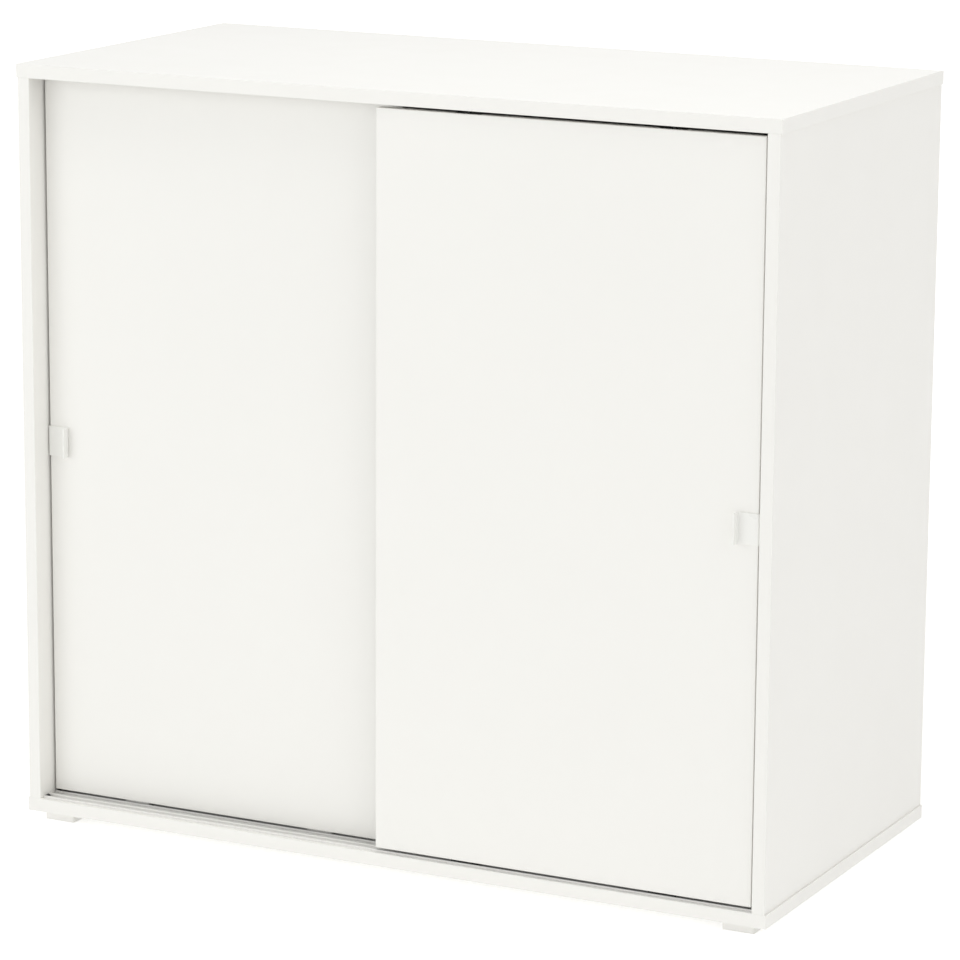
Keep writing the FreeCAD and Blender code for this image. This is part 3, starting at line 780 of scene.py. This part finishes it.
def makeBrackets():
    low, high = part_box("wall_bracket_right")
    size = bracketShape
    outline = ((high.y, low.z), (high.y, high.z), (low.y, high.z))
    corners = [Vector((high.x, y, z)) for y, z in outline]
    bracket = foldStrip("wallBracketRight", corners, xAxis * (low.x - high.x), (size["bend"],))
    roundCorners(bracket, lambda place: near(place.z, low.z) or near(place.y, low.y), size["corner"])
    thicken(bracket, size["sheet"], size["arris"])
    middleX = (low.x + high.x) / 2
    through = 3 * size["sheet"]
    before = 2 * size["sheet"]       # each hole starts clear of the sheet on its inner side
    wallHole = (middleX, high.y - before, high.z - size["wallHoleDrop"])
    bore(bracket, wallHole, yAxis, size["wallHole"], through, sides=size["holeSides"])
    for x in sideBySide(middleX, size["screwSpacing"]):
        place = (x, low.y + size["screwInset"], high.z - before)
        bore(bracket, place, zAxis, size["screwHole"], through)
    smooth(bracket)
    other = copyPiece(bracket, "wallBracketLeft", flips="x")
    fitOut(bracket, "carcase", "wall_bracket_right", "zinc_steel", zincSteel)
    fitOut(other, "carcase", "wall_bracket_left", "zinc_steel", zincSteel)


makeBrackets()
print("stage: wall brackets")


# rails

def extrudeWalls(spans, level, way, height):
    # pushes the strips between the given y values out of the face at one level
    for line in sorted({y for span in spans for y in span}):
        cutAcross(yAxis, line)

    def onStrip(face):
        place = centre(face)
        return (facesTo(face, way) and near(place.z, level)
                and any(front < place.y < rear for front, rear in spans))

    pick("FACE", onStrip)
    pushOut(way * height)


def fourWalls(low, high, wall, channel):
    # an outer and an inner wall for each of the two channels
    step = wall + channel
    starts = (low.y, low.y + step, high.y - step - wall, high.y - wall)
    return [(y, y + wall) for y in starts]


def spreadAlong(half, count):
    # evenly from one end to the other
    return [(2 * i / (count - 1) - 1) * half for i in range(count)]


bottomRailShape = dict(
    floor=1 * mm,
    webHeight=2 * mm,        # between the channels
    rib=3 * mm,
    channel=8 * mm,
    arris=0.5 * mm,
    arrisSteps=3,
    screws=5,
    screwInset=44.5 * mm,    # from the ends of the rail
)


def makeBottomRail():
    low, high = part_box("bottom_rail")
    size = bottomRailShape
    level = low.z + size["floor"]
    ribs = fourWalls(low, high, size["rib"], size["channel"])
    web = (ribs[1][1], ribs[2][0])
    rail = addBlock("bottomRail", low, (high.x, high.y, level))
    startEditing(rail)
    extrudeWalls(ribs, level, zAxis, high.z - level)
    extrudeWalls([web], level, zAxis, size["webHeight"] - size["floor"])
    stopEditing()
    softenEdges(rail, size["arris"], size["arrisSteps"])
    channelY = high.y - size["rib"] - size["channel"] / 2
    for x in spreadAlong(high.x - size["screwInset"], size["screws"]):
        sinkScrew(rail, (x, channelY, level), -zAxis, railScrew, 3 * size["floor"])
    smooth(rail)
    fitOut(rail, "carcase", "bottom_rail", "white_plastic", bottomRailPlastic)


topRailShape = dict(
    base=1.5 * mm,
    wall=4 * mm,
    channel=6 * mm,
    arris=0.4 * mm,
    screws=5,
    screwInset=44.5 * mm,
    screwHole=1.55 * mm,
)


def makeTopRail():
    low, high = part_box("top_rail")
    size = topRailShape
    level = high.z - size["base"]
    walls = fourWalls(low, high, size["wall"], size["channel"])
    rail = addBlock("topRail", (low.x, low.y, level), high)
    startEditing(rail)
    extrudeWalls(walls, level, -zAxis, level - low.z)
    stopEditing()
    softenEdges(rail, size["arris"])
    middleY = (low.y + high.y) / 2
    for x in spreadAlong(high.x - size["screwInset"], size["screws"]):
        bore(rail, (x, middleY, level), zAxis, size["screwHole"], 2 * size["base"])
    smooth(rail)
    fitOut(rail, "carcase", "top_rail", "white_plastic", topRailPlastic)


plugShape = dict(
    length=3 * mm,
    round=0.8 * mm,          # upper edge that faces the channel
    arris=0.3 * mm,
)


def makeRailPlugs():
    # plugs in both ends of both channels, each modelled from the one at the front right; their black is
    # painted shade, darkening the ends of the channels
    low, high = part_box("rail_end_plugs")
    size = plugShape
    slack = low.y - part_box("bottom_rail")[0].y - bottomRailShape["rib"]
    width = bottomRailShape["channel"] - 2 * slack
    plug = addBlock("railEndPlugs", (high.x - size["length"], low.y, low.z),
                    (high.x, low.y + width, high.z))
    startEditing(plug)
    pick("EDGE", lambda edge: runsAlong(edge, yAxis) and near(middle(edge).z, high.z)
         and middle(edge).x < high.x - size["length"] / 2)
    roundEdges(size["round"], steps["edge"])
    stopEditing()
    softenEdges(plug, size["arris"])
    rear = copyPiece(plug, "plug", (0, high.y - low.y - width, 0))
    mirrored = [copyPiece(piece, "plug", flips="x") for piece in (plug, rear)]
    whole = joinPieces("railEndPlugs", [plug, rear] + mirrored)
    smooth(whole)
    fitOut(whole, "carcase", "rail_end_plugs", "black_plastic", blackPlastic)


makeBottomRail()
makeTopRail()
makeRailPlugs()
print("stage: rails")


# feet

footShape = dict(
    corner=1.5 * mm,
    arris=0.5 * mm,
    well=4.4 * mm,
    wellDepth=4 * mm,
    wellSides=40,
    screwHole=1.8 * mm,
    screwSpacing=30 * mm,
    rim=2.5 * mm,            # of the shallow tray under the foot
    tray=0.6 * mm,
)


def makeFeet():
    low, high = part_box("foot_front_right")
    size = footShape
    foot = addBlock("footFrontRight", low, high)
    startEditing(foot)
    pick("EDGE", lambda edge: runsAlong(edge, zAxis))
    roundEdges(size["corner"], steps["edge"])
    pick("FACE", lambda face: facesTo(face, -zAxis))
    bpy.ops.mesh.inset(thickness=size["rim"], depth=0)
    pushOut((0, 0, size["tray"]))
    stopEditing()
    softenEdges(foot, size["arris"])
    middleX = (low.x + high.x) / 2
    for y in sideBySide((low.y + high.y) / 2, size["screwSpacing"]):
        place = (middleX, y, low.z)
        bore(foot, place, zAxis, size["well"], size["wellDepth"], sides=size["wellSides"])
        bore(foot, place, zAxis, size["screwHole"], high.z - low.z + mm)
    smooth(foot)
    others = {
        "foot_front_left": copyPiece(foot, "footFrontLeft", flips="x"),
        "foot_rear_right": copyPiece(foot, "footRearRight", flips="y"),
        "foot_rear_left": copyPiece(foot, "footRearLeft", flips="xy"),
    }
    fitOut(foot, "carcase", "foot_front_right", "white_plastic", whitePlastic)
    for node, other in others.items():
        fitOut(other, "carcase", node, "white_plastic", whitePlastic)


makeFeet()
print("stage: feet")


# fittings of the doors

glideShape = dict(
    width=32 * mm,
    forward=6.7 * mm,        # front of the runner before the rear face of the door
    back=0.7 * mm,           # and its back behind that face
    runnerTop=6 * mm,        # above the lower edge of the door
    leadIn=2 * mm,
    arris=0.3 * mm,
    screwRise=20 * mm,
    screwSpacing=18 * mm,
    screwDepth=3 * mm,
)


def makeGlide():
    # the outer glide of the front door
    low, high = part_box("front_door_bottom_glides")
    size = glideShape
    left = high.x - size["width"]
    rear = frontDoorHigh.y
    edge = frontDoorLow.z
    top = edge + size["runnerTop"]
    glide = addBlock("frontDoorGlideOuter", (left, rear - size["forward"], low.z),
                     (high.x, rear + size["back"], edge))
    startEditing(glide)
    pick("FACE", lambda face: facesTo(face, zAxis))
    pushOut((0, 0, size["runnerTop"]))
    pick("FACE", lambda face: facesTo(face, yAxis) and centre(face).z > edge)
    pushOut((0, high.y - rear - size["back"], 0))
    cutAcross(yAxis, rear)
    pick("FACE", lambda face: facesTo(face, zAxis) and centre(face).y > rear)
    pushOut((0, 0, high.z - top))
    pick("EDGE", lambda line: runsAlong(line, yAxis) and near(middle(line).z, low.z))
    roundEdges(size["leadIn"], steps["leadIn"])
    stopEditing()
    softenEdges(glide, size["arris"])
    for x in sideBySide(left + size["width"] / 2, size["screwSpacing"]):
        place = (x, high.y, edge + size["screwRise"])
        sinkScrew(glide, place, -yAxis, smallScrew, size["screwDepth"])
    smooth(glide)
    return glide


guideShape = dict(
    width=32 * mm,
    bodyHeight=24 * mm,
    plateHeight=44 * mm,
    arris=0.4 * mm,
    pinHole=2.6 * mm,
    springHole=3.7 * mm,
    cap=4 * mm,
    pinLine=3 * mm,          # middle of the pin before the rear face of the door
    screwDrop=34 * mm,
    screwSpacing=18 * mm,
    screwDepth=3 * mm,
)


def makeGuide():
    # the outer guide of the front door
    low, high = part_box("front_door_top_guides")
    size = guideShape
    left = high.x - size["width"]
    rear = frontDoorHigh.y
    bodyLow = high.z - size["bodyHeight"]
    guide = addBlock("frontDoorGuideOuter", (left, low.y, bodyLow), high)
    startEditing(guide)
    cutAcross(yAxis, rear)
    pick("FACE", lambda face: facesTo(face, -zAxis) and centre(face).y > rear)
    pushOut((0, 0, size["bodyHeight"] - size["plateHeight"]))
    stopEditing()
    softenEdges(guide, size["arris"])
    middleX = left + size["width"] / 2
    pinY = rear - size["pinLine"]
    bore(guide, (middleX, pinY, high.z), -zAxis, size["pinHole"], size["cap"] + mm)
    bore(guide, (middleX, pinY, bodyLow), zAxis, size["springHole"], size["bodyHeight"] - size["cap"])
    for x in sideBySide(middleX, size["screwSpacing"]):
        place = (x, high.y, high.z - size["screwDrop"])
        sinkScrew(guide, place, -yAxis, smallScrew, size["screwDepth"])
    smooth(guide)
    return guide


def spreadFitting(outer, kind, node, width, finishes):
    # the same fitting near the inner edge of the front door, and both again on the rear door
    low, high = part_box("front_door_" + node)
    inner = copyPiece(outer, "frontDoor" + kind + "Inner", (low.x + width - high.x, 0, 0))
    twins = [copyPiece(piece, piece.name.replace("front", "rear"), (0, doorStep, 0), "x")
             for piece in (outer, inner)]
    for door, pieces in (("front_door", (outer, inner)), ("rear_door", twins)):
        for piece in pieces:
            fitOut(piece, door, door + "_" + node, *finishes[door])


allBlack = ("black_plastic", blackPlastic)
allWhite = ("white_plastic", whitePlastic)
spreadFitting(makeGlide(), "Glide", "bottom_glides", glideShape["width"],
              {"front_door": allBlack, "rear_door": allWhite})
spreadFitting(makeGuide(), "Guide", "top_guides", guideShape["width"],
              {"front_door": allBlack, "rear_door": allBlack})
print("stage: glides and guides")


# shelf pins

pinShape = dict(
    pegRadius=2.5 * mm,
    pegLength=7 * mm,
    pegSides=24,
    length=8 * mm,
    width=7 * mm,
    height=5 * mm,
    belly=1.8 * mm,          # rounding of the lower edge of the block
    pegEnd=0.6 * mm,
    arris=0.3 * mm,
    inset=37 * mm,           # from the front and rear edges of the shelf
)


def makeShelfPin(face, shelf):
    # a peg in the side panel, and a block with a flat top that the shelf lies on
    size = pinShape
    top = shelf.z
    y = shelf.y + size["inset"]
    front, rear = sideBySide(y, size["width"])
    pin = addBlock("shelfPins", (face - size["length"], front, top - size["height"]), (face, rear, top))
    startEditing(pin)
    pick("EDGE", lambda edge: runsAlong(edge, yAxis)
         and middle(edge).z < top - mm and middle(edge).x < face - mm)
    roundEdges(size["belly"], steps["edge"])
    stopEditing()
    softenEdges(pin, size["arris"])
    root = (face - mm, y, top - size["height"] / 2)
    peg = addBar("peg", root, xAxis, size["pegLength"] + mm, size["pegRadius"], sides=size["pegSides"])
    startEditing(peg)
    tip = face + size["pegLength"]
    pick("EDGE", lambda edge: all(near(point.co.x, tip) for point in edge.verts))
    roundEdges(size["pegEnd"], steps["leadIn"])
    stopEditing()
    addModifier(pin, "BOOLEAN", object=peg, operation="UNION", solver="EXACT")
    bpy.data.objects.remove(peg)
    smooth(pin)
    return pin


def makeShelfPins():
    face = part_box("right_side_panel")[0].x
    low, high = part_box("shelf_right_lower")
    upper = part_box("shelf_right_upper")[0]
    first = makeShelfPin(face, low)
    back = high.y - low.y - 2 * pinShape["inset"]
    rise = upper.z - low.z
    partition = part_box("centre_partition")[1].x
    pins = []
    for i, (dy, dz) in enumerate(((0, 0), (back, 0), (0, rise), (back, rise))):
        atSide = first if i == 0 else copyPiece(first, "pin", (0, dy, dz))
        atPartition = copyPiece(first, "pin", (face + partition, dy, dz), "x")
        pins += [atSide, atPartition]
    pins += [copyPiece(pin, "pin", flips="x") for pin in pins]
    whole = joinPieces("shelfPins", pins)
    smooth(whole)
    fitOut(whole, "carcase", "shelf_pins", "white_plastic", whitePlastic)


makeShelfPins()
print("stage: shelf pins")


# floor, room, lamps and camera

studio = dict(
    floorSize=40,
    floorColour=(0.9, 0.9, 0.895, 1),
    floorRoughness=0.9,
    floorLight=0.3,          # thrown onto the cabinet
    floorGlow=(0.44, 0.75),  # seen directly only, beside the cabinet and far from it
    glowReach=(0.9, 4),      # where the first ends and the second begins
    roomLight=0.52,
    roomColour=(1.0, 0.995, 0.985, 1),
)
lamps = dict(
    keyLamp=dict(place=(-2.7, -3.9, 1.8), aim=(0, 0, 0.45), size=2.8, power=44, colour=(0.97, 0.995, 1)),
    topLamp=dict(place=(0.3, -0.3, 3.6), aim=(0, 0, 0.5), size=2.4, power=41, colour=(0.98, 0.995, 1)),
    sideLamp=dict(place=(3.0, -1.2, 2.9), aim=(0.3, 0, 0.4), size=2.0, power=21, colour=(1, 1, 1)),
)
view = dict(
    place=(2.204, -4.357, 1.510),
    yaw=26.87,               # degrees to the left of straight ahead
    pitch=12.62,             # degrees down
    roll=-0.36,
    lens=160.9,
    sensor=36,
)


def seenDirectly(tree):
    # rays that should meet a white background
    rays = addNode(tree, "LightPath").outputs
    sharp = math2(tree, "MAXIMUM", rays["Is Glossy Ray"], rays["Is Transmission Ray"])
    return math2(tree, "MAXIMUM", rays["Is Camera Ray"], sharp)


def addFloor():
    clearSelection()
    bpy.ops.mesh.primitive_plane_add(size=studio["floorSize"], location=(0, 0, 0))
    floor = bpy.context.object
    floor.name = "studioFloor"
    material, tree, shader = startMaterial(
        "studio_floor", Base_Color=studio["floorColour"], Roughness=studio["floorRoughness"])
    # whiter far away, so that only the shadow beside the cabinet shows
    away = addNode(tree, "VectorMath", {0: objectPlace(tree)}, operation="LENGTH").outputs["Value"]
    white = ramp(tree, away, studio["glowReach"], studio["floorGlow"])
    strength = mixValue(tree, seenDirectly(tree), studio["floorLight"], white)
    glow = addNode(tree, "Emission", {"Strength": strength})
    both = addNode(tree, "AddShader", {0: shader.outputs[0], 1: glow.outputs[0]})
    tree.links.new(both.outputs[0], tree.nodes["Material Output"].inputs["Surface"])
    setMaterial(floor, material)


def addRoom():
    world = bpy.data.worlds.new("studioRoom")
    bpy.context.scene.world = world
    world.use_nodes = True
    tree = world.node_tree
    lit = tree.nodes["Background"]
    lit.inputs["Color"].default_value = studio["roomColour"]
    lit.inputs["Strength"].default_value = studio["roomLight"]
    white = addNode(tree, "Background", {"Color": (1, 1, 1, 1), "Strength": 1.0})
    both = addNode(tree, "MixShader", {0: seenDirectly(tree), 1: lit.outputs[0], 2: white.outputs[0]})
    tree.links.new(both.outputs[0], tree.nodes["World Output"].inputs["Surface"])


def addLamp(name, place, aim, size, power, colour):
    clearSelection()
    bpy.ops.object.light_add(type="AREA", location=place)
    lamp = bpy.context.object
    lamp.name = name
    lamp.rotation_euler = (Vector(aim) - Vector(place)).to_track_quat("-Z", "Y").to_euler()
    lamp.data.size = size
    lamp.data.energy = power
    lamp.data.color = colour


def addCamera():
    turn = [math.radians(angle) for angle in (90 - view["pitch"], view["roll"], view["yaw"])]
    clearSelection()
    bpy.ops.object.camera_add(location=view["place"], rotation=turn)
    camera = bpy.context.object
    camera.name = "studioCamera"
    camera.data.sensor_width = view["sensor"]
    camera.data.lens = view["lens"]
    bpy.context.scene.camera = camera


addFloor()
addRoom()
for name, lamp in lamps.items():
    addLamp(name, **lamp)
addCamera()
bpy.context.scene.view_settings.view_transform = "Standard"
print("stage: floor, room, lamps and camera")
